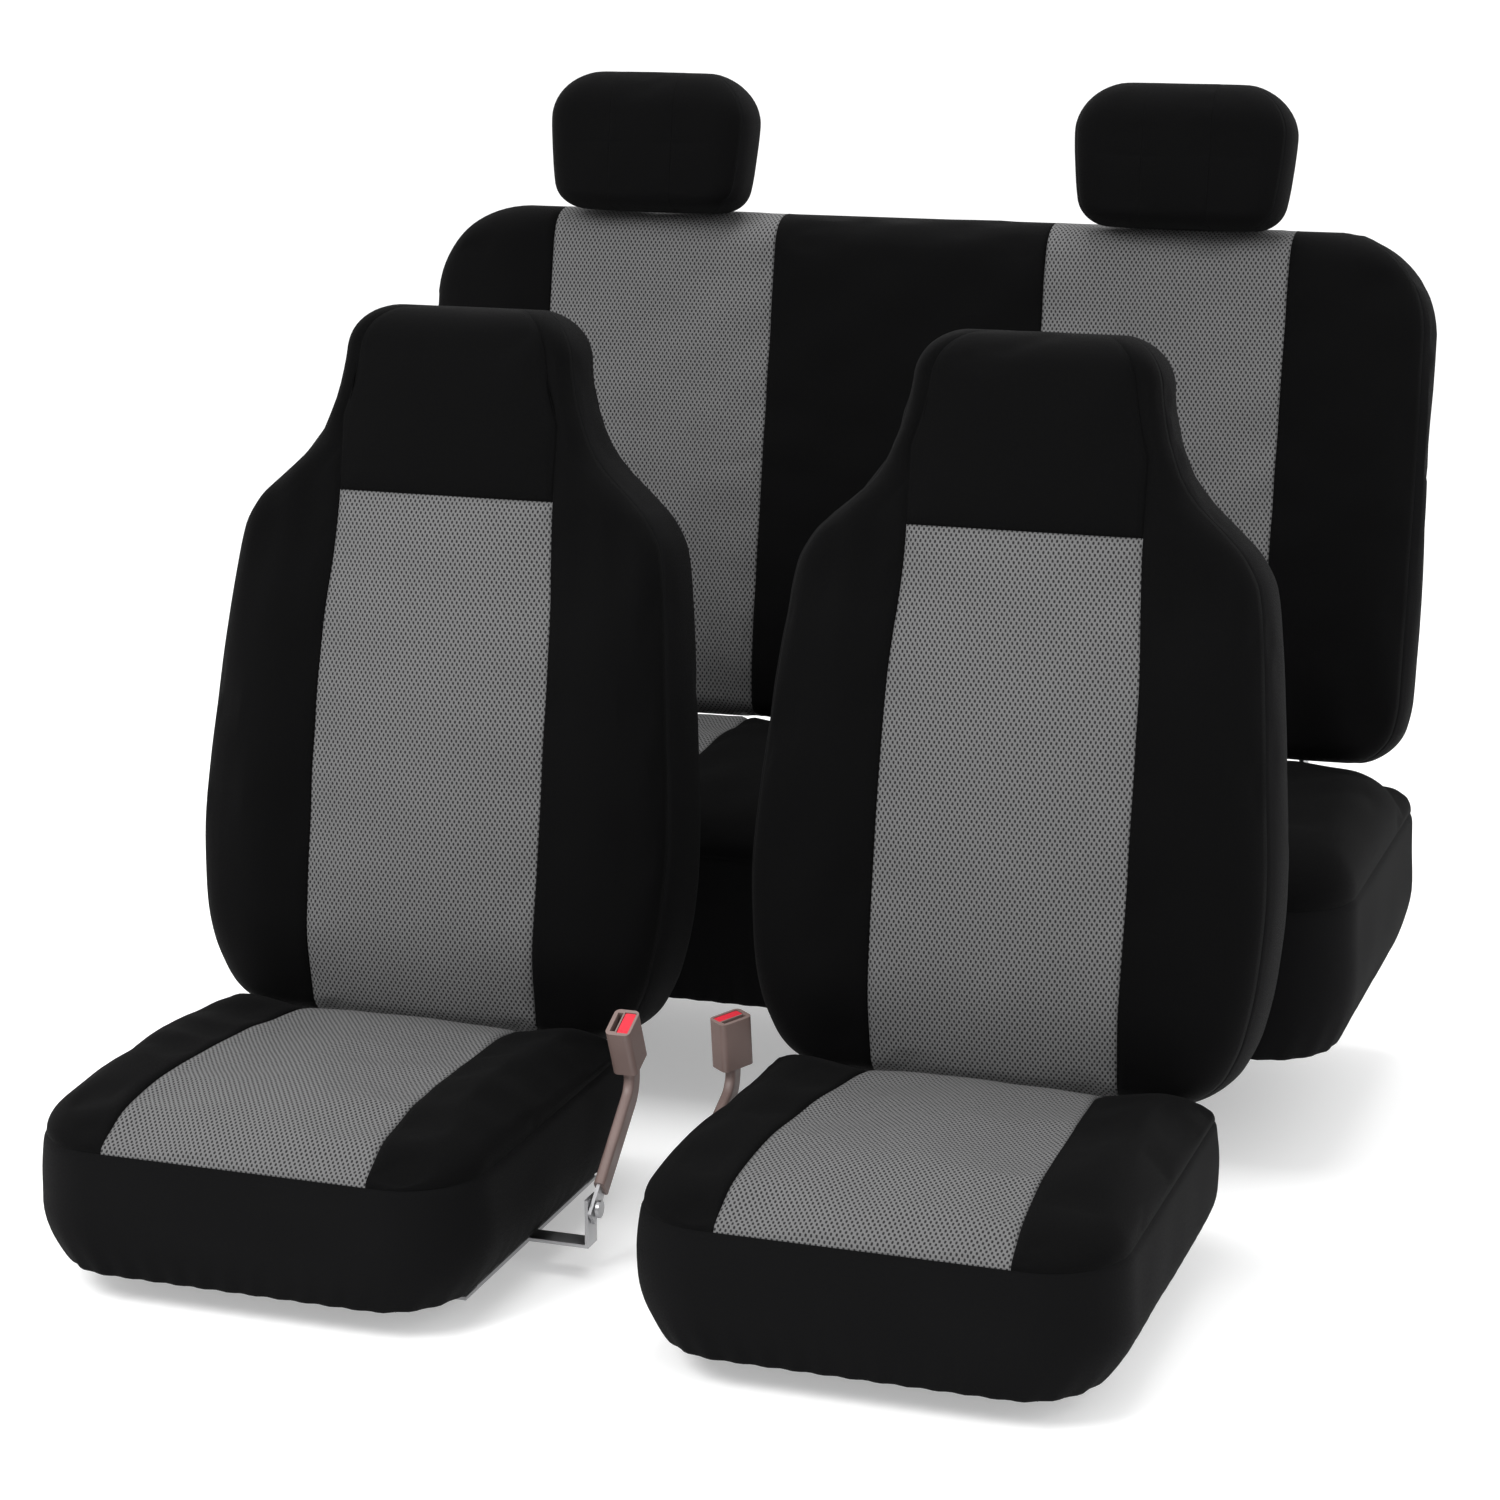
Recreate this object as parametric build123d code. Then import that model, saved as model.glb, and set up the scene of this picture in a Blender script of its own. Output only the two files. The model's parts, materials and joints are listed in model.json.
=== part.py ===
"""Seat cover set fitted over two bucket seats and a rear bench, in millimetres.

X runs across the vehicle, -Y is forwards, +Z is up, and the floor is at Z = 0.
Shapes are laid out from the front hem of the bucket seats (y = 0 there), and at the end
the whole set is shifted along Y so that the origin is the middle of its footprint.
"""
from build123d import *
import math
import os

os.makedirs("parts", exist_ok=True)

# ---- driving dimensions -------------------------------------------------
SKIN = 3                      # laminated cover fabric
SEAT_X = 359                  # bucket seat centre line, left and right of the middle
HEM = 36                      # bucket hem and pan underside above the floor
BENCH_HEM = 139               # bench hem and pan underside above the floor

CUSHION_HALF = 266            # bucket cushion half width
CUSHION_FRONT = -22
CUSHION_BACK = 482
CUSHION_TOP = 192
SKIRT_TOP = 94                # top of the upright skirt wall, above the hem
INSERT_FRONT_HALF = 157       # grey mesh insert of the cushion
PAN_THICK = 12
FOAM_BASE = 26                # cushion foam starts this far above the hem

RECLINE = 8.6                 # backrest lean at rest, degrees
PIVOT_Y = 530
PIVOT_Z = HEM + 85
BACK_BASE = HEM + 135         # underside of the backrest before it leans
BACK_FRONT_Y = 484            # front face of the backrest at its base, before it leans
BACK_LENGTH = 880
BACK_THICK = 145
BACK_INSERT_HALF = 146
BACK_INSERT_TOP = 652         # seam between the grey insert and the head panel
BACK_SPLIT = 70               # seam between front panels and rear panel, from the front face

RAIL_X = 190
RAIL_FRONT = 150
RAIL_BACK = 490
RAIL_TAB = 32
FLOOR_HOLE = 5.5
PIVOT_BOLT = 8
RUNNING = 0.05                # radial clearance of a running fit
PLATE_X = 222                 # inner face of the recliner plates
PLATE = 5

BUCKLE_X = 320                # buckle centre line from the seat centre line
BUCKLE_Z = HEM + 40           # anchor bolt height
STALK_LOWER = 170             # anchor to elbow
STALK_UPPER = 30              # elbow to the foot of the housing
STALK_BEND = 36
SLEEVE = (13, 27)             # stalk sleeve thickness and width
HOUSING = (30, 44, 62)        # thickness, width, length
SLOT = (6.4, 32, 34)          # tongue slot thickness, width, depth
SLOT_OFFSET = 7               # slot centre from the housing's middle, towards the seat
BUTTON = (13, 34, 14)         # thickness, width, depth
BUTTON_OFFSET = 5             # button centre, towards the middle of the vehicle
BUTTON_TRAVEL = 4
ANCHOR_BOLT = 6
LEFT_BUCKLE = (246, 50, -24, 0)      # anchor y, stalk lean, housing lean, twist
RIGHT_BUCKLE = (350, 66, -8, -35)

BENCH_HALF = 705
BENCH_FRONT = 830
BENCH_BACK = 1228             # rear edge of the sitting surface
BENCH_TAIL = 1345             # the cushion runs on this far, lower, under the backrest
BENCH_TAIL_TOP = BENCH_HEM + 214
BENCH_TOP = BENCH_HEM + 282
BENCH_SEAM = BENCH_HEM + 190  # seam between the bench top panels and the skirt
STRIPE_IN = 190               # grey stripe, inner and outer edge from the middle
STRIPE_OUT = 515
BENCH_RECLINE = 8.9
BENCH_BACK_BASE = BENCH_HEM + 262
BENCH_PIVOT_Y = 1300
BENCH_PIVOT_Z = BENCH_BACK_BASE + 32
HINGE_X = 560
HINGE_SLOT = (HINGE_X - 9, HINGE_X + 18)
BENCH_BACK_FRONT_Y = 1238
BENCH_BACK_LENGTH = 696
BENCH_BACK_THICK = 145
BENCH_SPLIT = 75
RISER_X = 390

REST_X = 370                  # headrest centre line
REST_HALF = 145
REST_HEIGHT = 186
REST_THICK = 118
REST_MIDDLE = 18              # headrest centre behind the bench back's front face
POST_LINE = 46                # headrest posts behind the same face
REST_GAP = 3
POST_HALF = 62                # headrest post spacing, half
POST_RADIUS = 6
POST_LENGTH = 150
SLEEVE_RADIUS = 10
SLEEVE_LENGTH = 90


# ---- shape helpers ------------------------------------------------------
def grown(points, amount):
    """Polygon moved outwards by amount along its corner mitres (inwards when negative)."""
    turn = sum(a[0] * b[1] - b[0] * a[1] for a, b in zip(points, points[1:] + points[:1]))
    side = 1 if turn > 0 else -1
    moved = []
    for before, here, after in zip(points[-1:] + points[:-1], points, points[1:] + points[:1]):
        first = Vector(here[0] - before[0], here[1] - before[1]).normalized()
        second = Vector(after[0] - here[0], after[1] - here[1]).normalized()
        normal_a = Vector(first.Y, -first.X) * side
        normal_b = Vector(second.Y, -second.X) * side
        mitre = (normal_a + normal_b) * (amount / (1 + normal_a.dot(normal_b)))
        moved.append((here[0] + mitre.X, here[1] + mitre.Y))
    return moved


def outline(corners, grow=0):
    """Closed face from (x, y, corner radius) triples."""
    points = grown([(x, y) for x, y, r in corners], grow)
    radii = [max(r + grow, 1) for x, y, r in corners]
    return make_face(FilletPolyline(*points, radius=radii, close=True))


def mirrored(right_side):
    """Full outline from its right half, listed bottom to top."""
    return right_side + [(-x, y, r) for x, y, r in reversed(right_side)]


def prism(plane, corners, low, high, grow=0):
    """Outline on a plane, extruded from low to high along the plane's normal."""
    face = plane.offset(low) * outline(corners, grow)
    return extrude(face, amount=high - low, dir=plane.z_dir)


def block(x, y, z):
    """Box from three (low, high) pairs."""
    size = [high - low for low, high in (x, y, z)]
    middle = [(high + low) / 2 for low, high in (x, y, z)]
    return Pos(*middle) * Box(*size)


def rod(start, radius, length, direction=(0, 0, 1)):
    """Round bar from a start point along a direction."""
    plane = Plane(origin=start, z_dir=direction)
    return extrude(plane * Circle(radius), amount=length)


def solids_of(shape):
    return [s for s in shape.solids() if s.volume > 1]


def group(*shapes):
    """One node of separate solids."""
    return Compound(children=[s for shape in shapes for s in solids_of(shape)])


def both_sides(shape):
    return group(shape, mirror(shape, Plane.YZ))


NODES = {}


def keep(name, *shapes):
    NODES[name] = group(*shapes)


# ---- bucket seat cushion ------------------------------------------------
def cushion_form(grow, base):
    side = [
        (CUSHION_FRONT, HEM + base - grow, 2),
        (CUSHION_FRONT, HEM + 118, 60),
        (20, HEM + 168, 60),
        (130, HEM + CUSHION_TOP, 150),
        (CUSHION_BACK, HEM + 170, 30),
        (CUSHION_BACK, HEM + base - grow, 2),
    ]
    front = mirrored([(CUSHION_HALF, HEM - 20, 2), (CUSHION_HALF, HEM + 192, 36)])
    body = prism(Plane.YZ, side, -400, 400, grow)
    body &= prism(Plane.XZ, front, -700, 200, grow)
    return body & prism(Plane.XY, cushion_plan(), 0, 400, grow)


def cushion_plan():
    return [
        (-CUSHION_HALF, CUSHION_FRONT, 80),
        (CUSHION_HALF, CUSHION_FRONT, 80),
        (CUSHION_HALF, CUSHION_BACK, 30),
        (-CUSHION_HALF, CUSHION_BACK, 30),
    ]


def cushion_parts(seat):
    skin = cushion_form(0, 0) - cushion_form(-SKIN, -30)
    top = skin & block((-400, 400), (-200, 700), (HEM + SKIRT_TOP, 400))
    skirt = prism(Plane.XY, cushion_plan(), HEM, HEM + SKIRT_TOP)
    skirt -= prism(Plane.XY, cushion_plan(), HEM - 5, HEM + SKIRT_TOP + 5, -SKIN)
    insert_zone = prism(Plane.XY, mirrored([(INSERT_FRONT_HALF, 16, 1), (INSERT_FRONT_HALF, 250, 1),
                                            (136, 452, 1)]), 0, 400)
    foam = cushion_form(-SKIN, 0) & block((-400, 400), (-200, 700), (HEM + FOAM_BASE, 400))
    slot = both_sides(block((PLATE_X - 1, PLATE_X + PLATE + 1), (436, 510), (HEM - 5, PIVOT_Z + 45)))
    keep(f"{seat}_cushion_foam", foam - slot)
    keep(f"{seat}_cushion_mesh_insert", top & insert_zone)
    keep(f"{seat}_cushion_top_panel", top - insert_zone - slot)
    keep(f"{seat}_cushion_skirt", skirt - slot)
    pan = block((-228, 228), (18, 468), (HEM, HEM + PAN_THICK))
    pan += block((-228, 228), (18, 24), (HEM + PAN_THICK, HEM + FOAM_BASE))
    pan += block((-228, 228), (462, 468), (HEM + PAN_THICK, HEM + FOAM_BASE))
    keep(f"{seat}_cushion_pan", pan - slot)
    straps = [block((x - 12, x + 12), (0, 440), (HEM - 2, HEM)) for x in (-90, 90)]
    hooks = [block((x - 9, x + 9), (440, 468), (HEM - 2, HEM)) for x in (-90, 90)]
    hem_band = block((-190, 190), (CUSHION_FRONT + 6, 0), (HEM, HEM + 3))
    hem_sides = block((230, 244), (80, 440), (HEM, HEM + 3))
    keep(f"{seat}_hem_elastic", hem_band, both_sides(hem_sides), *straps, *hooks)


# ---- bucket backrest, modelled upright and then leaned ------------------
def back_form(grow):
    y0 = BACK_FRONT_Y
    z0 = BACK_BASE
    side = [
        (y0 + 2, z0, 20),
        (y0 - 34, z0 + 150, 200),
        (y0 - 4, z0 + 640, 300),
        (y0 + 6, z0 + BACK_LENGTH, 45),
        (y0 + 108, z0 + BACK_LENGTH, 45),
        (y0 + BACK_THICK, z0 + 560, 200),
        (y0 + BACK_THICK, z0, 30),
    ]
    front = mirrored([
        (250, z0, 30), (300, z0 + 80, 60), (314, z0 + 230, 200), (302, z0 + 400, 300),
        (280, z0 + 612, 62), (176, z0 + 706, 60), (149, z0 + 780, 120), (147, z0 + BACK_LENGTH, 52),
    ])
    return prism(Plane.YZ, side, -400, 400, grow) & prism(Plane.XZ, front, -900, 0, grow)


def back_frame():
    """Ladder of square tube inside the foam, with an ear at each recliner."""
    y0 = BACK_FRONT_Y + 60
    z0 = BACK_BASE
    tube = 20
    upright = block((200, 220), (y0, y0 + tube), (z0 + 10, z0 + 560))
    ear = block((PLATE_X - PLATE - 1, PLATE_X - 1), (PIVOT_Y - 20, y0 + tube), (PIVOT_Z, z0 + 80))
    ear += rod((PLATE_X - PLATE - 1, PIVOT_Y, PIVOT_Z), 20, PLATE, (1, 0, 0))
    ear -= rod((PLATE_X - 20, PIVOT_Y, PIVOT_Z), PIVOT_BOLT + RUNNING, 40, (1, 0, 0))
    half = upright + ear
    bars = [block((-200, 200), (y0, y0 + tube), (z0 + z, z0 + z + tube)) for z in (60, 300, 540)]
    frame = half + mirror(half, Plane.YZ)
    for bar in bars:
        frame += bar
    return frame


def leaned(shape, pivot_y, pivot_z, lean):
    return Pos(0, pivot_y, pivot_z) * Rot(-lean, 0, 0) * Pos(0, -pivot_y, -pivot_z) * shape


def back_parts(seat):
    shell = back_form(0) - back_form(-SKIN)
    split_y = BACK_FRONT_Y + BACK_SPLIT
    front = shell & block((-400, 400), (200, split_y), (0, 1400))
    rear = shell & block((-400, 400), (split_y, 900), (0, 1400))
    insert_x = (-BACK_INSERT_HALF, BACK_INSERT_HALF)
    centre = front & block(insert_x, (200, split_y), (0, 1400))
    seam_z = BACK_BASE + BACK_INSERT_TOP
    frame = back_frame()
    made = {
        "back_foam": back_form(-SKIN) - frame,
        "back_mesh_insert": centre & block((-400, 400), (200, 900), (BACK_BASE + 12, seam_z)),
        "back_head_panel": centre & block((-400, 400), (200, 900), (seam_z, 1400)),
        "back_bolsters": front - block(insert_x, (200, split_y), (BACK_BASE + 12, 1400)),
        "back_rear_panel": rear,
        "back_frame": frame,
    }
    made["back_foam"] -= block((200, 240), (470, 570), (PIVOT_Z, BACK_BASE + 84))
    made["back_foam"] -= block((-240, -200), (470, 570), (PIVOT_Z, BACK_BASE + 84))
    for name in ("back_bolsters", "back_rear_panel"):
        for sign in (1, -1):
            made[name] -= Pos(sign * 220, 520, BACK_BASE) * Box(40, 100, 20)
    for name, shape in made.items():
        keep(f"{seat}_{name}", leaned(shape, PIVOT_Y, PIVOT_Z, RECLINE))


def recliner_parts(seat):
    arm = [(440, HEM, 4), (500, HEM, 4), (552, PIVOT_Z + 8, 18), (508, PIVOT_Z + 22, 18), (440, HEM + 30, 4)]
    plate = prism(Plane.YZ, arm, PLATE_X, PLATE_X + PLATE)
    plate -= rod((PLATE_X - 10, PIVOT_Y, PIVOT_Z), PIVOT_BOLT, 30, (1, 0, 0))
    bolt = rod((PLATE_X - PLATE - 8, PIVOT_Y, PIVOT_Z), PIVOT_BOLT, PLATE * 2 + 8, (1, 0, 0))
    bolt += rod((PLATE_X + PLATE, PIVOT_Y, PIVOT_Z), 13, 5, (1, 0, 0))
    keep(f"{seat}_recliner_plates", both_sides(plate + bolt))


# ---- slide rails --------------------------------------------------------
def rail_parts(seat):
    length = (RAIL_FRONT, RAIL_BACK)
    lower = block((RAIL_X - 24, RAIL_X + 24), (RAIL_FRONT - RAIL_TAB, RAIL_BACK + RAIL_TAB), (0, 4))
    for sign in (-1, 1):
        edge = RAIL_X + sign * 22
        lower += block((edge - 2, edge + 2), length, (4, 24))
        lip = RAIL_X + sign * 16.5
        lower += block((lip - 7.5, lip + 7.5), length, (20, 24))
    for y in hole_rows():
        lower -= rod((RAIL_X, y, -5), FLOOR_HOLE, 20)
    keep(f"{seat}_lower_rails", both_sides(lower))
    runner = (RAIL_FRONT + 10, RAIL_BACK - 30)
    upper = block((RAIL_X - 16, RAIL_X + 16), runner, (6, 14))
    upper += block((RAIL_X - 5, RAIL_X + 5), runner, (14, HEM - 4))
    upper += block((RAIL_X - 20, RAIL_X + 20), runner, (HEM - 4, HEM))
    keep(f"{seat}_upper_rails", both_sides(upper))


def hole_rows():
    return (RAIL_FRONT - RAIL_TAB / 2, RAIL_BACK + RAIL_TAB / 2)


# ---- belt buckle --------------------------------------------------------
def buckle_parts(seat, inner, anchor_y, lower_lean, upper_lean, twist):
    """inner is +1 when the middle of the vehicle is on the seat's +X side; leans are rearwards."""
    x = inner * BUCKLE_X
    anchor = Vector(x, anchor_y, BUCKLE_Z)
    lower = Vector(0, math.sin(math.radians(lower_lean)), math.cos(math.radians(lower_lean)))
    upper = Vector(0, math.sin(math.radians(upper_lean)), math.cos(math.radians(upper_lean)))
    elbow = anchor + lower * STALK_LOWER
    foot = elbow + upper * STALK_UPPER

    thick, wide, long = HOUSING
    housing = fillet(Box(thick, wide, long).edges().filter_by(Axis.Z), 7)
    mouth = long / 2
    slot = Pos(-inner * SLOT_OFFSET, 0, mouth - SLOT[2] / 2) * Box(SLOT[0], SLOT[1], SLOT[2] + 0.02)
    well_depth = BUTTON[2] + BUTTON_TRAVEL + 2
    well = Pos(inner * BUTTON_OFFSET, 0, mouth - well_depth / 2)
    housing -= slot
    housing -= well * Box(BUTTON[0] + 1, BUTTON[1] + 1, well_depth + 0.02)
    place = Pos(*(foot + upper * mouth)) * Rot(-upper_lean, 0, 0) * Rot(0, 0, twist)
    keep(f"{seat}_buckle_housing", place * housing)
    button = fillet(Box(*BUTTON).edges().filter_by(Axis.Z), 2)
    button = Pos(inner * BUTTON_OFFSET, 0, mouth - 1 - BUTTON[2] / 2) * button
    keep(f"{seat}_buckle_button", place * button)

    eye_place = Pos(*anchor) * Rot(-lower_lean, 0, 0)
    eye = block((-2, 2), (-11, 11), (-14, 44))
    eye -= rod((-5, 0, 0), ANCHOR_BOLT + RUNNING, 10, (1, 0, 0))
    keep(f"{seat}_buckle_anchor_eye", eye_place * eye)
    route = FilletPolyline(tuple(anchor + lower * 26), tuple(elbow), tuple(foot), radius=STALK_BEND)
    section = Plane(origin=route @ 0, x_dir=(1, 0, 0), z_dir=route % 0) * RectangleRounded(*SLEEVE, 5)
    sleeve = sweep(section, path=route)
    keep(f"{seat}_buckle_sleeve", sleeve - eye_place * block((-2, 2), (-11, 11), (0, 44)))

    bracket = block(sorted((x - 3 * inner, x - 7 * inner)), (anchor_y - 14, anchor_y + 14),
                    (HEM - 4, BUCKLE_Z + 14))
    bracket += block(sorted((inner * 214, x - 3 * inner)), (anchor_y - 14, anchor_y + 14), (HEM - 4, HEM))
    bracket += rod((x - 4 * inner, anchor_y, BUCKLE_Z), ANCHOR_BOLT, 8, (inner, 0, 0))
    bracket += rod((x + 4 * inner, anchor_y, BUCKLE_Z), 10, 4, (inner, 0, 0))
    keep(f"{seat}_buckle_bracket", bracket)


# ---- bench --------------------------------------------------------------
def bench_form(grow, base):
    side = [
        (BENCH_FRONT, BENCH_HEM + base - grow, 2),
        (BENCH_FRONT - 6, BENCH_HEM + 170, 55),
        (BENCH_FRONT + 20, BENCH_HEM + 232, 55),
        (BENCH_FRONT + 130, BENCH_TOP - 14, 200),
        (BENCH_BACK - 60, BENCH_TOP, 200),
        (BENCH_BACK, BENCH_TOP - 4, 30),
        (BENCH_BACK + 6, BENCH_TAIL_TOP, 12),
        (BENCH_TAIL, BENCH_TAIL_TOP - 6, 24),
        (BENCH_TAIL, BENCH_HEM + base - grow, 2),
    ]
    front = mirrored([(BENCH_HALF - 24, BENCH_HEM - 20, 2), (BENCH_HALF, BENCH_HEM + 130, 60),
                      (BENCH_HALF, BENCH_TOP, 60)])
    plan = mirrored([(BENCH_HALF, BENCH_FRONT - 6, 90), (BENCH_HALF, BENCH_TAIL, 30)])
    body = prism(Plane.YZ, side, -800, 800, grow)
    body &= prism(Plane.XZ, front, -1500, 0, grow)
    return body & prism(Plane.XY, plan, 0, 600, grow)


def stripe_zones():
    right = block((STRIPE_IN, STRIPE_OUT), (0, 2000), (0, 2000))
    return right + mirror(right, Plane.YZ)


def bench_cushion_parts():
    skin = bench_form(0, 0) - bench_form(-SKIN, -30)
    top = skin & block((-800, 800), (0, 2000), (BENCH_SEAM, 900))
    slot = both_sides(block(HINGE_SLOT, (1262, 1400), (BENCH_HEM - 5, 400)))
    keep("bench_cushion_mesh_stripes", top & stripe_zones())
    keep("bench_cushion_top_panels", top - stripe_zones() - slot)
    keep("bench_cushion_skirt", skin - top - slot)
    foam = bench_form(-SKIN, 0) & block((-800, 800), (0, 2000), (BENCH_HEM + FOAM_BASE, 900))
    keep("bench_cushion_foam", foam - slot)
    pan = block((-640, 640), (866, 1325), (BENCH_HEM, BENCH_HEM + PAN_THICK))
    for y in (866, 1319):
        pan += block((-640, 640), (y, y + 6), (BENCH_HEM + PAN_THICK, BENCH_HEM + FOAM_BASE))
    keep("bench_pan", pan - slot)
    hem = block((-560, 560), (BENCH_FRONT + 8, BENCH_FRONT + 30), (BENCH_HEM, BENCH_HEM + 3))
    side = block((646, 660), (940, 1200), (BENCH_HEM, BENCH_HEM + 3))
    keep("bench_hem_elastic", hem, both_sides(side))


def riser_parts():
    foot = block((RISER_X - 45, RISER_X + 45), (900, 1240), (0, 6))
    foot += block((RISER_X - 4, RISER_X + 4), (900, 1240), (6, BENCH_HEM - 6))
    foot += block((RISER_X - 30, RISER_X + 30), (900, 1205), (BENCH_HEM - 6, BENCH_HEM))
    for x in (RISER_X - 28, RISER_X + 28):
        for y in (925, 1215):
            foot -= rod((x, y, -5), FLOOR_HOLE, 20)
    keep("bench_risers", both_sides(foot))


def bench_back_form(grow):
    y0 = BENCH_BACK_FRONT_Y
    z0 = BENCH_BACK_BASE
    top = z0 + BENCH_BACK_LENGTH
    side = [
        (y0 + 4, z0, 25), (y0 - 8, z0 + 120, 200), (y0 + 2, top - 60, 200), (y0 + 8, top, 55),
        (y0 + 135, top, 55), (y0 + BENCH_BACK_THICK, top - 200, 200), (y0 + BENCH_BACK_THICK, z0, 30),
    ]
    front = mirrored([
        (BENCH_HALF - 40, z0, 40), (BENCH_HALF, z0 + 90, 80), (BENCH_HALF - 4, top, 130),
    ])
    return prism(Plane.YZ, side, -800, 800, grow) & prism(Plane.XZ, front, -1800, 0, grow)


def post_places():
    return [side * REST_X + half * POST_HALF for side in (-1, 1) for half in (-1, 1)]


def bench_back_parts():
    split_y = BENCH_BACK_FRONT_Y + BENCH_SPLIT
    z0 = BENCH_BACK_BASE
    top = z0 + BENCH_BACK_LENGTH
    shell = bench_back_form(0) - bench_back_form(-SKIN)
    front = shell & block((-800, 800), (0, split_y), (0, 2000))
    tube = (split_y - 10, split_y + 10)
    frame = block((-600, -580), tube, (z0 + 60, top - 140)) + block((580, 600), tube, (z0 + 60, top - 140))
    for z in (z0 + 60, z0 + 300, top - 160):
        frame += block((-580, 580), tube, (z, z + 20))
    ears = block((-3, 3), (BENCH_PIVOT_Y - 20, split_y + 10), (BENCH_PIVOT_Z, z0 + 80))
    ears += rod((-3, BENCH_PIVOT_Y, BENCH_PIVOT_Z), 20, 6, (1, 0, 0))
    ears -= rod((-10, BENCH_PIVOT_Y, BENCH_PIVOT_Z), PIVOT_BOLT + RUNNING, 20, (1, 0, 0))
    for x in (-HINGE_X, HINGE_X):
        frame += Pos(x, 0, 0) * ears
    sleeves = []
    post_holes = []
    post_y = BENCH_BACK_FRONT_Y + POST_LINE
    for x in post_places():
        sleeve = rod((x, post_y, top - SLEEVE_LENGTH), SLEEVE_RADIUS, SLEEVE_LENGTH + 1)
        sleeve += rod((x, post_y, top + 0.5), SLEEVE_RADIUS + 5, 2)
        sleeve -= rod((x, post_y, top - SLEEVE_LENGTH - 5), POST_RADIUS + RUNNING, SLEEVE_LENGTH + 20)
        sleeves.append(sleeve)
        post_holes.append(rod((x, post_y, top - POST_LENGTH - 10), SLEEVE_RADIUS, POST_LENGTH + 20))
    foam = bench_back_form(-SKIN) - frame
    made_front = front
    made_rear = shell & block((-800, 800), (split_y, 2000), (0, 2000))
    for hole in post_holes:
        foam -= hole
        made_front -= hole
        made_rear -= hole
    hinge_y = (BENCH_PIVOT_Y - 48, BENCH_PIVOT_Y + 48)
    room = both_sides(block(HINGE_SLOT, hinge_y, (z0 - 10, BENCH_PIVOT_Z + 36)))
    foam -= room
    made_front -= room
    made_rear -= room
    made = {
        "bench_back_foam": foam,
        "bench_back_frame": frame,
        "bench_back_mesh_stripes": made_front & stripe_zones(),
        "bench_back_front_panels": made_front - stripe_zones(),
        "bench_back_rear_panel": made_rear,
        "bench_headrest_guides": group(*sleeves),
    }
    for name, shape in made.items():
        keep(name, leaned(shape, BENCH_PIVOT_Y, BENCH_PIVOT_Z, BENCH_RECLINE))


def bench_hinge_parts():
    arm = [(1270, BENCH_HEM, 3), (1318, BENCH_HEM, 3), (BENCH_PIVOT_Y + 18, BENCH_PIVOT_Z + 16, 16),
           (BENCH_PIVOT_Y - 18, BENCH_PIVOT_Z + 16, 16)]
    plate = prism(Plane.YZ, arm, HINGE_X + 4, HINGE_X + 10)
    plate += rod((HINGE_X - 6, BENCH_PIVOT_Y, BENCH_PIVOT_Z), PIVOT_BOLT, 20, (1, 0, 0))
    keep("bench_hinge_plates", both_sides(plate))


def headrest_parts(side, x):
    post_y = BENCH_BACK_FRONT_Y + POST_LINE
    top = BENCH_BACK_BASE + BENCH_BACK_LENGTH
    low = top + REST_GAP
    y0 = BENCH_BACK_FRONT_Y + REST_MIDDLE - REST_THICK / 2

    def form(grow):
        front = mirrored([(REST_HALF, low, 44), (REST_HALF - 4, low + REST_HEIGHT, 58)])
        profile = [(y0 + 4, low, 34), (y0, low + 110, 120), (y0 + 12, low + REST_HEIGHT, 44),
                   (y0 + REST_THICK - 6, low + REST_HEIGHT, 44), (y0 + REST_THICK, low, 34)]
        body = prism(Plane.XZ, front, -1800, 0, grow) & prism(Plane.YZ, profile, -400, 400, grow)
        plan = [(-REST_HALF, y0, 40), (REST_HALF, y0, 40), (REST_HALF, y0 + REST_THICK, 40),
                (-REST_HALF, y0 + REST_THICK, 40)]
        return body & prism(Plane.XY, plan, 0, 1600, grow)

    posts = []
    for offset in (-POST_HALF, POST_HALF):
        posts.append(rod((offset, post_y, top - POST_LENGTH + 70), POST_RADIUS, POST_LENGTH))
    cover = form(0) - form(-SKIN)
    foam = form(-SKIN)
    for post in posts:
        cover -= post
        foam -= post
    made = {"cover": cover, "foam": foam, "posts": group(*posts)}
    for name, shape in made.items():
        placed = leaned(shape, BENCH_PIVOT_Y, BENCH_PIVOT_Z, BENCH_RECLINE)
        keep(f"{side}_headrest_{name}", Pos(x, 0, 0) * placed)


# ---- assembly -----------------------------------------------------------
def bucket_seat(seat, x, inner, buckle):
    before = set(NODES)
    cushion_parts(seat)
    back_parts(seat)
    recliner_parts(seat)
    rail_parts(seat)
    buckle_parts(seat, inner, *buckle)
    for name in set(NODES) - before:
        NODES[name] = Pos(x, 0, 0) * NODES[name]


bucket_seat("left", -SEAT_X, 1, LEFT_BUCKLE)
bucket_seat("right", SEAT_X, -1, RIGHT_BUCKLE)
bench_cushion_parts()
riser_parts()
bench_back_parts()
bench_hinge_parts()
headrest_parts("left", -REST_X)
headrest_parts("right", REST_X)

boxes = [shape.bounding_box() for shape in NODES.values()]
front_most = min(box.min.Y for box in boxes)
rear_most = max(box.max.Y for box in boxes)
SHIFT_Y = -(front_most + rear_most) / 2
for node, shape in NODES.items():
    export_step(Pos(0, SHIFT_Y, 0) * shape, f"parts/{node}.step")

print("nodes", len(NODES))
print("shift_y", round(SHIFT_Y, 4))
print("size", [round(max(getattr(b.max, a) for b in boxes) - min(getattr(b.min, a) for b in boxes), 2)
               for a in "XYZ"])
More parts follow.
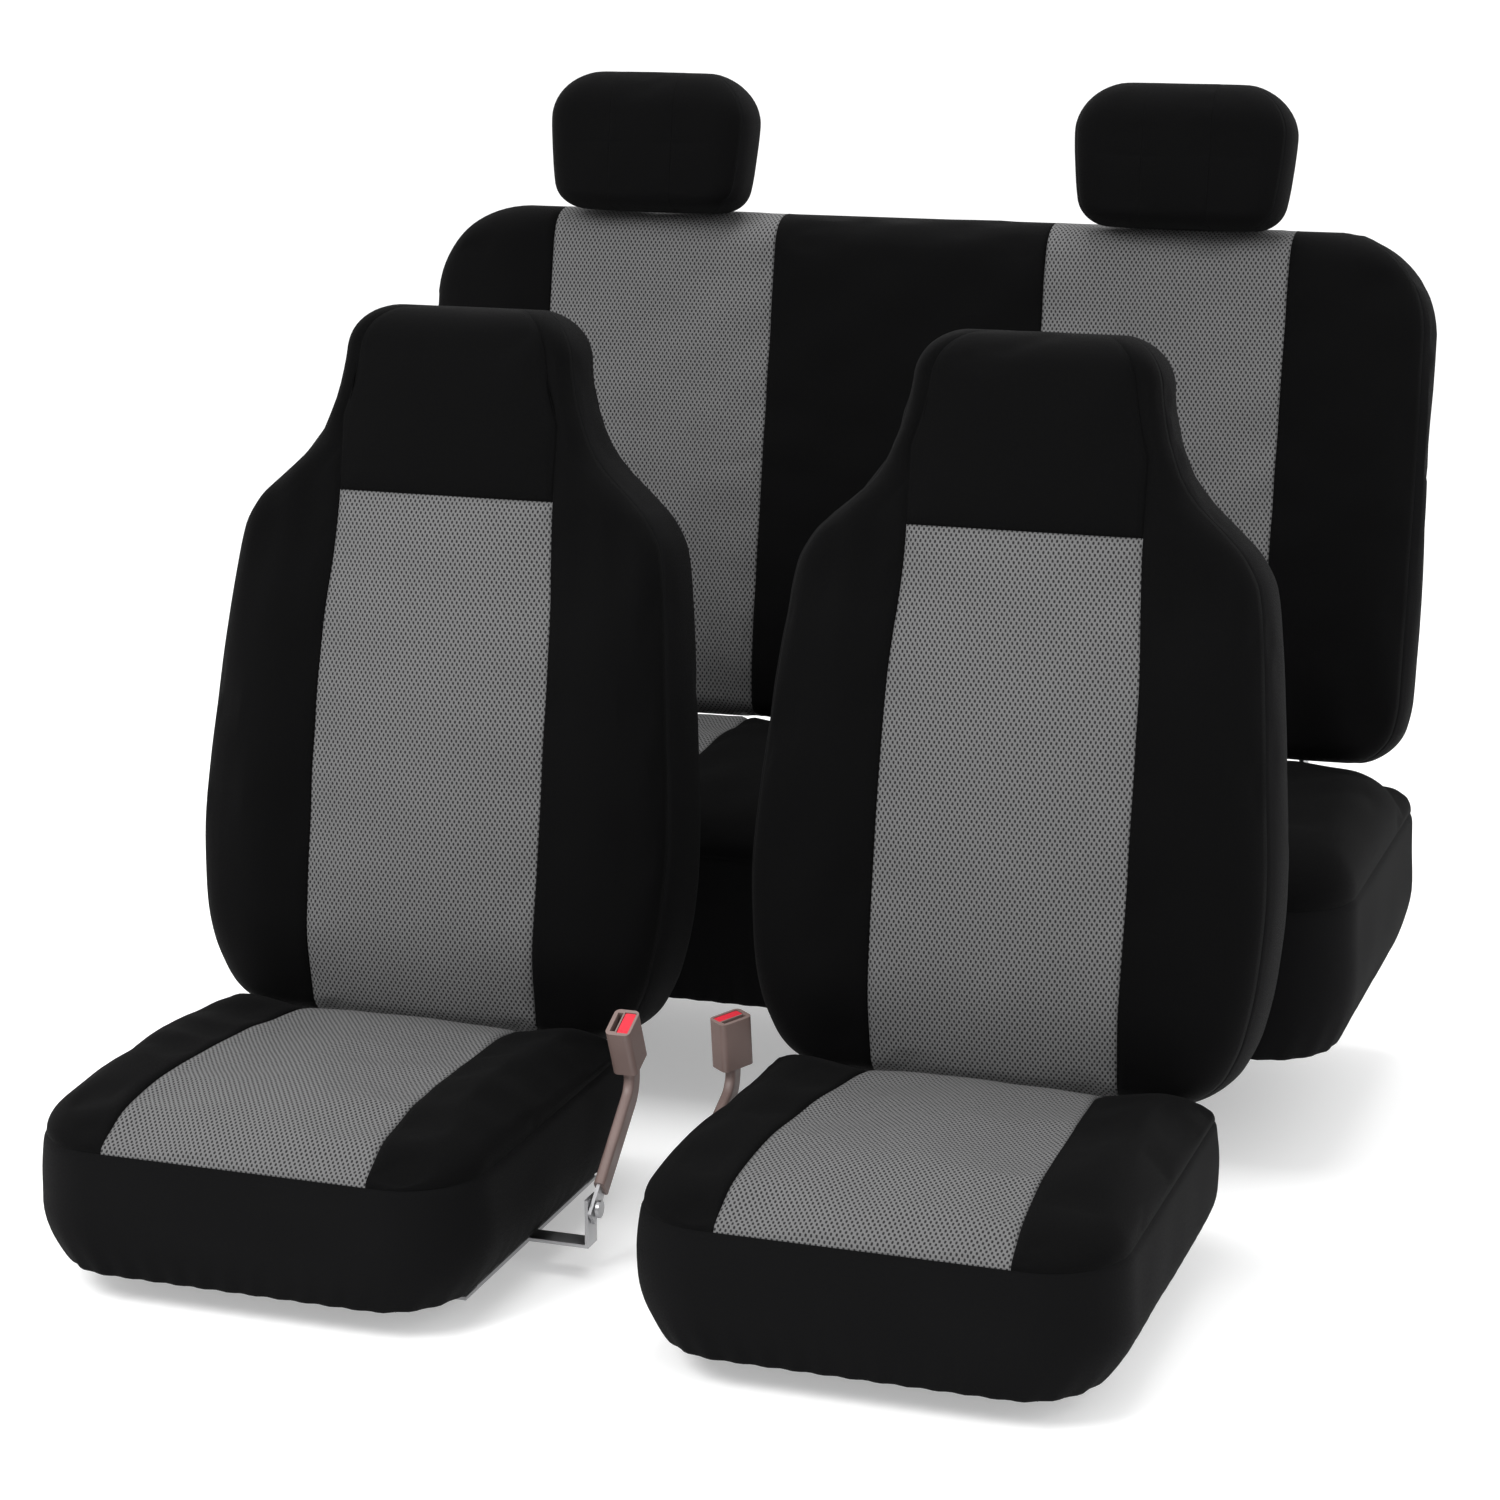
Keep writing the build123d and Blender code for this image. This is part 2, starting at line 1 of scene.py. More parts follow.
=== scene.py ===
"""Looks of a seat cover set: mesh and tricot covers over two bucket seats and a rear bench.

Lengths are in metres. Layout heights and depths are measured from the bucket seats' front hem
and from the floor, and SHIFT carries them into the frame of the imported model.
"""
import json
import math
import bpy
import numpy as np
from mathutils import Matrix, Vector

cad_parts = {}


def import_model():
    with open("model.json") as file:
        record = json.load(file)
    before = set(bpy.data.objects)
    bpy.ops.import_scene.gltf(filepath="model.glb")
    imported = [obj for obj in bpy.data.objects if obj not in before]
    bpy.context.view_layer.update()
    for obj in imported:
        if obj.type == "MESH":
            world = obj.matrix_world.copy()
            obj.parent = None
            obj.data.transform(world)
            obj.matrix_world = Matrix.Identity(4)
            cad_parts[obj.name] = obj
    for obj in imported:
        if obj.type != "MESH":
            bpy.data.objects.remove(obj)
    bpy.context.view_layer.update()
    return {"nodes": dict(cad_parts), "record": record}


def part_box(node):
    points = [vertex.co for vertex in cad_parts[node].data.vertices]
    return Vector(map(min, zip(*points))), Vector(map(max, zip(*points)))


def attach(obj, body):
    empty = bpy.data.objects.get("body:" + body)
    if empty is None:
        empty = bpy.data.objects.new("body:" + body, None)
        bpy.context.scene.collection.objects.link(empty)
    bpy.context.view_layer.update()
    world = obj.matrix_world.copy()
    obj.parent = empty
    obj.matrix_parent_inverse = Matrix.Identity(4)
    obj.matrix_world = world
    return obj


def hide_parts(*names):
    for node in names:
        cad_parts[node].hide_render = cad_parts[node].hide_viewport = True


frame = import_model()

# ---- layout shared with the CAD model -----------------------------------
SKIN = 0.003
CLOTH = 0.0022
HEM = 0.036
BENCH_HEM = 0.139
CUSHION_HALF = 0.265
CUSHION_FRONT = -0.022
CUSHION_BACK = 0.484
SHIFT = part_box("left_cushion_foam")[0].y - SKIN - CUSHION_FRONT
SKIRT_TOP = HEM + 0.142
RECLINE = math.radians(8.6)
PIVOT = (0.530 + SHIFT, HEM + 0.085)
BACK_BASE = HEM + 0.135
BACK_PLANE = 0.484 + 0.070 + SHIFT
BACK_LENGTH = 0.880
HEAD_SEAM = 0.652
BENCH_HALF = 0.705
BENCH_FRONT = 0.824
BENCH_BACK = 1.345
BENCH_SEAM = BENCH_HEM + 0.190
BENCH_BACK_BASE = BENCH_HEM + 0.262
BENCH_PIVOT = (1.300 + SHIFT, BENCH_BACK_BASE + 0.032)
BENCH_PLANE = 1.238 + 0.075 + SHIFT
BENCH_LENGTH = 0.696
BENCH_LEAN = math.radians(8.9)
STRIPE_IN = 0.190
STRIPE_OUT = 0.515
REST_PLANE = 1.238 + 0.004 + SHIFT
REST_HEIGHT = 0.188


def middle_x(node):
    low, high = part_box(node)
    return (low.x + high.x) / 2


# ---- small maths --------------------------------------------------------
def curve_through(*points):
    """Smooth curve through (x, y) points that never overshoots them."""
    xs = np.array([p[0] for p in points], float)
    ys = np.array([p[1] for p in points], float)
    step = np.diff(xs)
    slope = np.diff(ys) / step
    tangent = np.zeros(len(xs))
    tangent[0] = slope[0]
    tangent[-1] = slope[-1]
    for i in range(1, len(xs) - 1):
        if slope[i - 1] * slope[i] > 0:
            w1 = 2 * step[i] + step[i - 1]
            w2 = step[i] + 2 * step[i - 1]
            tangent[i] = (w1 + w2) / (w1 / slope[i - 1] + w2 / slope[i])

    def value(x):
        x = np.clip(np.asarray(x, float), xs[0], xs[-1])
        i = np.clip(np.searchsorted(xs, x) - 1, 0, len(xs) - 2)
        t = (x - xs[i]) / step[i]
        rise = (2 * t**3 - 3 * t**2 + 1) * ys[i] + (-2 * t**3 + 3 * t**2) * ys[i + 1]
        return rise + step[i] * ((t**3 - 2 * t**2 + t) * tangent[i] + (t**3 - t**2) * tangent[i + 1])

    return value


def crowded(count):
    """Steps from 0 to 1 that crowd towards both ends, where the seams are."""
    t = np.linspace(0, 1, count + 1)
    return t - 0.11 * np.sin(2 * math.pi * t)


def bump_at(distance, height, width):
    return height * np.exp(-(distance / width) ** 2)


RIPPLE_WAVES = 7
SEAM_DIP = 0.0032             # depth and width of the groove along a seam
SEAM_WIDTH = 0.0045


def ripples(a, b, seed, size):
    """Small uneven waves of stretched cloth over a surface with coordinates a and b."""
    rng = np.random.default_rng(seed)
    total = np.zeros(np.broadcast(a, b).shape)
    for _ in range(RIPPLE_WAVES):
        angle = rng.uniform(0, math.pi)
        length = rng.uniform(0.06, 0.22)
        phase = rng.uniform(0, 2 * math.pi)
        along = a * math.cos(angle) + b * math.sin(angle)
        total += np.sin(2 * math.pi * along / length + phase)
    return total * size / RIPPLE_WAVES


# ---- meshes -------------------------------------------------------------
def arc_length(points, axis):
    steps = np.linalg.norm(np.diff(points, axis=axis), axis=2)
    zero = np.zeros_like(np.take(steps, [0], axis=axis))
    return np.concatenate([zero, np.cumsum(steps, axis=axis)], axis=axis)


def sheet_object(name, points, material, closed=False, thickness=CLOTH):
    """Cloth panel from a grid of points (rows, columns, xyz) with its UV map in metres."""
    rows, columns = points.shape[:2]
    across = arc_length(points, 1)
    across = across - across[:, [columns // 2]]
    along = np.repeat(arc_length(points, 0)[:, [columns // 2]], columns, axis=1)
    faces = []
    corners = []
    for i in range(rows - 1):
        for j in range(columns - (0 if closed else 1)):
            k = (j + 1) % columns
            faces.append((i * columns + j, i * columns + k, (i + 1) * columns + k, (i + 1) * columns + j))
            reach = [across[row, j] + np.linalg.norm(points[row, k] - points[row, j]) for row in (i, i + 1)]
            corners += [(across[i, j], along[i, j]), (reach[0], along[i, j]),
                        (reach[1], along[i + 1, j]), (across[i + 1, j], along[i + 1, j])]
    mesh = bpy.data.meshes.new(name)
    mesh.from_pydata([tuple(p) for p in points.reshape(-1, 3)], [], faces)
    layer = mesh.uv_layers.new(name="cloth")
    layer.data.foreach_set("uv", np.array(corners, float).ravel())
    mesh.polygons.foreach_set("use_smooth", [True] * len(mesh.polygons))
    mesh.validate()
    mesh.update()
    piece = bpy.data.objects.new(name, mesh)
    bpy.context.collection.objects.link(piece)
    mesh.materials.append(material)
    if thickness:
        solid = piece.modifiers.new("cloth thickness", "SOLIDIFY")
        solid.thickness = thickness
        solid.offset = -1
        solid.use_even_offset = False
    return piece


def lean(points, pivot, angle):
    """Rotates points rearwards about a crosswise axis."""
    y = points[..., 1] - pivot[0]
    z = points[..., 2] - pivot[1]
    turned = points.copy()
    turned[..., 1] = pivot[0] + y * math.cos(angle) + z * math.sin(angle)
    turned[..., 2] = pivot[1] - y * math.sin(angle) + z * math.cos(angle)
    return turned


# ---- cloth simulation ---------------------------------------------------
SETTLE_FRAMES = 14
SETTLE_LIMIT = 0.006          # how far the slack cloth may move from the drawn shape
SETTLE_STRIDE = 2             # the simulated grid keeps every second row and column
CLOTH_SLACK = 0.002           # share by which the cloth is longer than the drawn shape
AIR_PRESSURE = 0.6
GRAVITY_SHARE = 0.2
VERTEX_MASS = 0.2


def slack_cloth(coarse, held, closed):
    """Temporary cloth object over a coarse grid, held where the mask is true."""
    rows, columns = coarse.shape[:2]
    faces = []
    for i in range(rows - 1):
        for j in range(columns if closed else columns - 1):
            k = (j + 1) % columns
            faces.append((i * columns + j, i * columns + k, (i + 1) * columns + k, (i + 1) * columns + j))
    mesh = bpy.data.meshes.new("slack cloth")
    mesh.from_pydata([tuple(p) for p in coarse.reshape(-1, 3)], [], faces)
    cloth = bpy.data.objects.new("slack cloth", mesh)
    bpy.context.collection.objects.link(cloth)
    pins = cloth.vertex_groups.new(name="held")
    pins.add([int(v) for v in np.flatnonzero(held.ravel())], 1.0, "REPLACE")
    settings = cloth.modifiers.new("slack", "CLOTH").settings
    settings.vertex_group_mass = "held"
    settings.quality = 5
    settings.mass = VERTEX_MASS
    settings.tension_stiffness = 30
    settings.compression_stiffness = 20
    settings.bending_stiffness = 0.4
    settings.air_damping = 4
    settings.shrink_min = -CLOTH_SLACK
    settings.use_pressure = True
    settings.uniform_pressure_force = AIR_PRESSURE
    settings.effector_weights.gravity = GRAVITY_SHARE
    return cloth


def settled(points, held_rows, held_columns, closed=False):
    """Grid after a short cloth simulation: slack panels settle between their held seams."""
    rows = np.unique(np.concatenate([np.arange(0, points.shape[0], SETTLE_STRIDE), held_rows]))
    columns = np.unique(np.concatenate([np.arange(0, points.shape[1], SETTLE_STRIDE), held_columns]))
    coarse = points[np.ix_(rows, columns)]
    held = np.isin(rows, held_rows)[:, None] | np.isin(columns, held_columns)[None, :]
    cloth = slack_cloth(coarse, held, closed)
    scene = bpy.context.scene
    for number in range(1, SETTLE_FRAMES + 1):
        scene.frame_set(number)
    shaped = cloth.evaluated_get(bpy.context.evaluated_depsgraph_get()).data
    flat = np.zeros(len(shaped.vertices) * 3)
    shaped.vertices.foreach_get("co", flat)
    moved = flat.reshape(coarse.shape) - coarse
    size = np.linalg.norm(moved, axis=2, keepdims=True)
    moved *= SETTLE_LIMIT * np.tanh(size / SETTLE_LIMIT) / np.maximum(size, 1e-9)
    moved[held] = 0
    mesh = cloth.data
    bpy.data.objects.remove(cloth)
    bpy.data.meshes.remove(mesh)
    scene.frame_set(1)
    return points + spread_over(moved, rows, columns, points.shape)


def spread_over(moved, rows, columns, shape):
    """Coarse grid of movements interpolated to every grid point."""
    every_row = np.arange(shape[0])
    every_column = np.arange(shape[1])
    full = np.zeros(shape)
    for k in range(3):
        wide = np.stack([np.interp(every_column, columns, line) for line in moved[..., k]])
        full[..., k] = np.stack([np.interp(every_row, rows, line) for line in wide.T]).T
    return full


# ---- materials ----------------------------------------------------------
class Nodes:
    """Short way to wire a material's nodes."""

    def __init__(self, name):
        self.material = bpy.data.materials.new(name)
        self.material.use_nodes = True
        self.tree = self.material.node_tree
        self.tree.nodes.clear()
        self.out = self.tree.nodes.new("ShaderNodeOutputMaterial")
        self.shader = self.tree.nodes.new("ShaderNodeBsdfPrincipled")
        self.link(self.shader.outputs[0], self.out.inputs[0])

    def link(self, a, b):
        self.tree.links.new(a, b)

    def node(self, kind, **settings):
        made = self.tree.nodes.new("ShaderNode" + kind)
        for key, value in settings.items():
            setattr(made, key, value)
        return made

    def math(self, operation, a, b=0.0, c=None):
        made = self.node("Math", operation=operation)
        for socket, value in zip(made.inputs, (a, b, c)):
            if value is None:
                continue
            if isinstance(value, (int, float)):
                socket.default_value = value
            else:
                self.link(value, socket)
        return made.outputs[0]

    def ramp(self, value, low, high, out_low=0.0, out_high=1.0):
        made = self.node("MapRange", interpolation_type="SMOOTHSTEP")
        self.link(value, made.inputs["Value"])
        limits = {"From Min": low, "From Max": high, "To Min": out_low, "To Max": out_high}
        for key, number in limits.items():
            made.inputs[key].default_value = number
        return made.outputs["Result"]

    def mix(self, factor, a, b):
        made = self.node("Mix", data_type="RGBA")
        self.link(factor, made.inputs["Factor"])
        for socket, value in ((made.inputs["A"], a), (made.inputs["B"], b)):
            if isinstance(value, tuple):
                socket.default_value = (*value, 1)
            else:
                self.link(value, socket)
        return made.outputs["Result"]

    def noise(self, vector, scale, detail=3.0):
        made = self.node("TexNoise")
        made.inputs["Scale"].default_value = scale
        made.inputs["Detail"].default_value = detail
        self.link(vector, made.inputs["Vector"])
        return made.outputs["Fac"]

    def bump(self, height, distance, strength=1.0, below=None):
        made = self.node("Bump")
        made.inputs["Distance"].default_value = distance
        made.inputs["Strength"].default_value = strength
        self.link(height, made.inputs["Height"])
        if below is not None:
            self.link(below, made.inputs["Normal"])
        return made.outputs["Normal"]

    def set(self, **values):
        for key, value in values.items():
            self.shader.inputs[key.replace("_", " ")].default_value = value


def waves(n, coordinate, pitch):
    """Cosine of a coordinate in metres, one cycle per pitch."""
    return n.math("COSINE", n.math("MULTIPLY", coordinate, 2 * math.pi / pitch))


def air_mesh():
    """Grey spacer mesh: staggered rows of tall diamond holes between knitted ribs."""
    n = Nodes("grey air mesh")
    uv = n.node("UVMap", uv_map="cloth").outputs["UV"]
    split = n.node("SeparateXYZ")
    n.link(uv, split.inputs[0])
    u, v = split.outputs[0], split.outputs[1]
    wobble = n.math("MULTIPLY", n.math("SUBTRACT", n.noise(uv, 90, 1.0), 0.5), 0.0012)
    u = n.math("ADD", u, wobble)
    lattice = n.math("MULTIPLY", waves(n, u, 0.0060), waves(n, v, 0.0092))
    hole = n.ramp(lattice, 0.12, 0.62)
    strand = n.math("MULTIPLY", waves(n, u, 0.0010), waves(n, v, 0.0013))
    patch = n.noise(uv, 9)
    light = n.mix(patch, (0.092, 0.092, 0.093), (0.118, 0.118, 0.119))
    fine = n.ramp(strand, -1.0, 1.0)
    cloth = n.mix(fine, light, (0.148, 0.148, 0.149))
    n.link(n.mix(hole, cloth, (0.020, 0.020, 0.021)), n.shader.inputs["Base Color"])
    n.link(n.ramp(hole, 0.0, 1.0, 0.62, 0.95), n.shader.inputs["Roughness"])
    coarse = n.bump(n.math("SUBTRACT", 1.0, hole), 0.0011)
    n.link(n.bump(strand, 0.00012, 0.6, coarse), n.shader.inputs["Normal"])
    n.set(Sheen_Weight=0.03, Sheen_Roughness=0.5, Specular_IOR_Level=0.12)
    return n.material


def tricot(name, dark, light):
    """Black brushed tricot: fine wales with a faint nap."""
    n = Nodes(name)
    uv = n.node("UVMap", uv_map="cloth").outputs["UV"]
    split = n.node("SeparateXYZ")
    n.link(uv, split.inputs[0])
    wale = waves(n, split.outputs[0], 0.0011)
    course = waves(n, split.outputs[1], 0.0015)
    knit = n.math("MULTIPLY", wale, course)
    nap = n.noise(uv, 420, 2.0)
    patch = n.noise(uv, 6, 2.0)
    base = n.mix(patch, dark, light)
    # Painted highlight: the crests of the knit are painted lighter than its hollows, though the yarn is one
    # black.
    raised_highlight = tuple(c * 1.7 for c in light)
    n.link(n.mix(n.ramp(knit, -1.0, 1.0, 0.0, 0.35), base, raised_highlight), n.shader.inputs["Base Color"])
    n.link(n.ramp(nap, 0.2, 0.8, 0.78, 0.95), n.shader.inputs["Roughness"])
    coarse = n.bump(knit, 0.00018, 0.6)
    n.link(n.bump(nap, 0.00025, 0.5, coarse), n.shader.inputs["Normal"])
    n.set(Sheen_Weight=0.008, Sheen_Roughness=0.4, Specular_IOR_Level=0.06)
    return n.material


def hard(name, color, rough, metallic=0.0, grain=400, depth=0.0001, spread=0.08, coat=0.0):
    """Moulded plastic, paint or plated metal with a fine surface grain."""
    n = Nodes(name)
    where = n.node("TexCoord").outputs["Object"]
    speck = n.noise(where, grain)
    smudge = n.noise(where, 25)
    n.link(n.mix(smudge, tuple(c * 0.86 for c in color), tuple(min(c * 1.12, 1) for c in color)),
           n.shader.inputs["Base Color"])
    n.link(n.ramp(smudge, 0.25, 0.75, rough - spread, rough + spread), n.shader.inputs["Roughness"])
    n.link(n.bump(speck, depth, 0.5), n.shader.inputs["Normal"])
    n.set(Metallic=metallic, Coat_Weight=coat)
    return n.material


MESH = air_mesh()
BLACK = tricot("black tricot", (0.0009, 0.0009, 0.0010), (0.0016, 0.0016, 0.0017))
# Painted light: the side and rear panels use the same black tricot with its colour painted lighter,
# standing for the light the sides catch.
SIDE_PAINTED_LIGHTER = tricot("black tricot side painted lighter", (0.0020, 0.0020, 0.0022), (0.0032, 0.0032, 0.0034))


# ---- backrest shaped covers ---------------------------------------------
FLAT_STEPS = 12
ROUND_STEPS = 14
SEAM_STEP = 8                 # rounding step where the front cover meets the side and rear cover
ROUND_POWER = 2 / 2.7
REAR_POINTS = 30
CAP_POWER = 2.4               # squareness of the top and bottom rounding, front to back
ROW_STEP = 0.011              # usual distance between rows of a cover's grid


def rounding():
    """Sideways reach and depth of the rounded edge, from the flat face out to the side."""
    angle = np.linspace(0, math.pi / 2, ROUND_STEPS + 1)[1:]
    reach = np.sin(angle) ** ROUND_POWER
    depth = np.clip(np.cos(angle), 0, 1) ** ROUND_POWER
    return reach, depth


def half_width(spec, s):
    """Half width with the top and bottom corners rounded off."""
    w = float(spec["width"](s))
    top = spec["corner_top"]
    low = spec["corner_low"]
    if s > spec["length"] - top:
        w = w - top + math.sqrt(max(top**2 - (s - spec["length"] + top) ** 2, 0))
    if s < low:
        w = w - low + math.sqrt(max(low**2 - (low - s) ** 2, 0))
    return w


def cap(spec, s):
    """Share of the depth left where the top and the bottom are rounded front to back."""
    top = spec["cap_top"]
    low = spec["cap_low"]
    share = 1.0
    if s > spec["length"] - top:
        share = max(1 - ((s - spec["length"] + top) / top) ** CAP_POWER, 0) ** (1 / CAP_POWER)
    if s < low:
        share = max(1 - ((low - s) / low) ** CAP_POWER, 0) ** (1 / CAP_POWER)
    return share


def section(spec, s):
    """Closed loop of (x, depth) round the cover at height s, and its count of points on the front."""
    w = half_width(spec, s)
    edge = min(spec["edge"], w * 0.6)
    seams = [min(float(seam(s)), w - edge * 0.5 - 0.004) for seam in spec["seams"]]
    edge = min(edge, w - seams[-1] - 0.003)
    reach, depth = rounding()
    stops = [-x for x in reversed(seams)] + seams
    flat_x = [np.array([stops[0]])]
    for a, b in zip(stops, stops[1:]):
        flat_x.append(a + (b - a) * crowded(spec["steps"])[1:])
    flat_x = np.concatenate(flat_x)
    outer = seams[-1] + (w - edge - seams[-1]) * crowded(FLAT_STEPS)[1:]
    round_x = w - edge + edge * reach
    right_x = np.concatenate([outer, round_x])
    x = np.concatenate([-right_x[::-1], flat_x, right_x])
    share = np.ones_like(x)
    share[: ROUND_STEPS] = depth[::-1]
    share[-ROUND_STEPS:] = depth
    face = spec["front"](x, s)
    for seam in stops:
        face = face - bump_at(x - seam, spec["seam_dip"], SEAM_WIDTH)
    side_seam = w - edge + edge * reach[SEAM_STEP]
    face = face - bump_at(np.abs(x) - side_seam, spec["seam_dip"] * 0.8, 0.004) * (share < 0.999)
    front = np.stack([x, face * share], -1)
    flat_rear = np.linspace(w - edge, edge - w, REAR_POINTS)
    back_x = np.concatenate([round_x[::-1][1:], flat_rear, -round_x[:-1]])
    back_share = np.ones_like(back_x)
    back_share[: ROUND_STEPS - 1] = depth[::-1][1:]
    back_share[-(ROUND_STEPS - 1):] = depth[:-1]
    rear = np.stack([back_x, -spec["rear"](back_x, s) * back_share], -1)
    return np.concatenate([front, rear]) * np.array([1.0, cap(spec, s)]), len(x)


def heights(spec):
    """Heights of the rows: crowded at the caps and on each cross seam."""
    cuts = [0.0] + spec["cross"] + [spec["length"]]
    cap_rows = (1 - np.cos(np.linspace(0, math.pi / 2, 13)))
    rows = []
    for index, (a, b) in enumerate(zip(cuts, cuts[1:])):
        low = a + (spec["cap_low"] if index == 0 else 0)
        high = b - (spec["cap_top"] if index == len(cuts) - 2 else 0)
        if index == 0:
            rows += list(a + spec["cap_low"] * cap_rows[:-1])
        count = max(int((high - low) / ROW_STEP), 8)
        rows += list(low + (high - low) * crowded(count))
        if index == len(cuts) - 2:
            rows += list(b - spec["cap_top"] * cap_rows[::-1][1:])
    return np.array(sorted(set(np.round(rows, 6))))


def cover_shell(spec):
    """Grid of points round a backrest or headrest, with the row heights and the front column count."""
    levels = heights(spec)
    loops = []
    for s in levels:
        loop, front_count = section(spec, s)
        row = np.zeros((len(loop), 3))
        row[:, 0] = loop[:, 0]
        row[:, 1] = spec["plane"] - loop[:, 1]
        row[:, 2] = spec["base"] + s
        loops.append(row)
    return lean(np.array(loops), spec["pivot"], spec["angle"]), levels, front_count


def shell_panels(name, spec, materials, crossed):
    """Splits a shell into its sewn panels. materials are the flat panels' from left to right."""
    points, levels, front_count = cover_shell(spec)
    points[..., 0] += spec["x"]
    outer = FLAT_STEPS + ROUND_STEPS
    left_edge = outer - FLAT_STEPS - SEAM_STEP
    right_edge = front_count - 1 - left_edge
    made = []
    columns = [outer + spec["steps"] * i for i in range(len(materials) + 1)]
    cross = int(np.argmin(np.abs(levels - spec["cross"][0])))
    held_rows = [0, len(levels) - 1] + ([cross] if crossed else [])
    points = settled(points, held_rows, columns + [left_edge, right_edge], closed=True)
    for index, material in enumerate(materials):
        part = points[:, columns[index]: columns[index + 1] + 1]
        if index in crossed:
            made.append(sheet_object(f"{name}_panel_{index}_lower", part[: cross + 1], material))
            made.append(sheet_object(f"{name}_panel_{index}_upper", part[cross:], BLACK))
        else:
            made.append(sheet_object(f"{name}_panel_{index}", part, material))
    made.append(sheet_object(f"{name}_left_bolster", points[:, left_edge: outer + 1], BLACK))
    made.append(sheet_object(f"{name}_right_bolster", points[:, columns[-1]: right_edge + 1], BLACK))
    wrap = np.concatenate([points[:, right_edge:], points[:, : left_edge + 1]], axis=1)
    made.append(sheet_object(f"{name}_side_and_rear", wrap, SIDE_PAINTED_LIGHTER))
    return made


def bucket_back_spec(x, seed):
    width = curve_through((0, 0.252), (0.04, 0.276), (0.09, 0.297), (0.16, 0.309), (0.24, 0.3135),
                          (0.39, 0.304), (0.54, 0.290), (0.60, 0.281), (0.635, 0.263), (0.665, 0.234),
                          (0.695, 0.202), (0.73, 0.176), (0.78, 0.158), (0.83, 0.150), (0.88, 0.147))
    front_depth = curve_through((0, 0.064), (0.13, 0.094), (0.35, 0.090), (0.64, 0.068), (0.88, 0.060))
    rear_depth = curve_through((0, 0.074), (0.56, 0.074), (0.70, 0.060), (0.88, 0.040))
    insert = curve_through((0, 0.147), (0.25, 0.150), (0.45, 0.149), (0.652, 0.139), (0.75, 0.139),
                           (0.88, 0.147))
    raise_of = curve_through((0, 0.4), (0.12, 1.0), (0.48, 1.0), (0.62, 0.1), (0.88, 0.0))

    def front(x_local, s):
        ax = np.abs(x_local)
        bolster = bump_at(ax - 0.212, 0.014, 0.05) * raise_of(s)
        crown = 0.006 * np.clip(1 - (x_local / 0.145) ** 2, 0, 1)
        cross = bump_at(s - HEAD_SEAM, 0.003, SEAM_WIDTH) * (ax < float(insert(s)))
        tug = 0.0022 * np.sin(ax * 120 + s * 14) * bump_at(s - 0.60, 1.0, 0.10) * (ax > 0.16)
        return front_depth(s) + bolster + crown - cross + tug + ripples(x_local, s, seed, 0.0022)

    def rear(x_local, s):
        return rear_depth(s) + ripples(x_local, s, seed + 1, 0.0025)

    return dict(x=x, width=width, front=front, rear=rear, seams=[insert], steps=30, length=BACK_LENGTH,
                corner_top=0.056, corner_low=0.05, cap_top=0.045, cap_low=0.03, edge=0.052,
                seam_dip=SEAM_DIP, cross=[HEAD_SEAM], plane=BACK_PLANE, base=BACK_BASE, pivot=PIVOT,
                angle=RECLINE)


def bench_back_spec():
    width = curve_through((0, 0.685), (0.09, 0.704), (0.35, 0.705), (0.696, 0.701))
    front_depth = curve_through((0, 0.068), (0.12, 0.078), (0.40, 0.074), (0.696, 0.066))

    def front(x_local, s):
        ax = np.abs(x_local)
        pad = 0.006 * np.cos(np.clip(ax / 0.72, 0, 1) * math.pi * 0.5)
        pulls = 0.0035 * np.sin(x_local * 62 + s * 18) * bump_at(s - 0.03, 1.0, 0.10) * (ax > 0.2)
        return front_depth(s) + pad + pulls + ripples(x_local, s, 21, 0.0035)

    def rear(x_local, s):
        return 0.066 + ripples(x_local, s, 22, 0.003)

    stripe_seams = [lambda s: STRIPE_IN, lambda s: STRIPE_OUT]
    return dict(x=0.0, width=width, front=front, rear=rear, seams=stripe_seams, steps=26,
                length=BENCH_LENGTH, corner_top=0.128, corner_low=0.05, cap_top=0.05, cap_low=0.03,
                edge=0.060, seam_dip=SEAM_DIP, cross=[0.35], plane=BENCH_PLANE, base=BENCH_BACK_BASE,
                pivot=BENCH_PIVOT, angle=BENCH_LEAN)


def headrest_spec(x, seed):
    def front(x_local, s):
        return 0.055 + 0.004 * np.cos(np.clip(np.abs(x_local) / 0.14, 0, 1) * math.pi / 2) + \
            ripples(x_local, s, seed, 0.0025)

    def rear(x_local, s):
        return 0.052 + ripples(x_local, s, seed + 1, 0.002)

    width = curve_through((0, 0.131), (0.06, 0.141), (0.13, 0.146), (0.188, 0.143))
    return dict(x=x, width=width, front=front, rear=rear, seams=[lambda s: 0.045], steps=16,
                length=REST_HEIGHT, corner_top=0.068, corner_low=0.034, cap_top=0.055, cap_low=0.022,
                edge=0.050, seam_dip=0.0, cross=[0.09], plane=REST_PLANE,
                base=BENCH_BACK_BASE + BENCH_LENGTH - 0.006,
                pivot=BENCH_PIVOT, angle=BENCH_LEAN)


# ---- seat cushion covers ------------------------------------------------
TOP_POWER = 2.3               # squareness of the rounding from the sitting surface to the skirt
SKIRT_ROWS = 24
GATHER_PITCH = 0.034          # spacing of the gathers along the elastic hem
TURNED_HEM = ((0.003, -0.0012), (0.008, -0.0005), (0.016, 0.002))     # inset and lift of each row


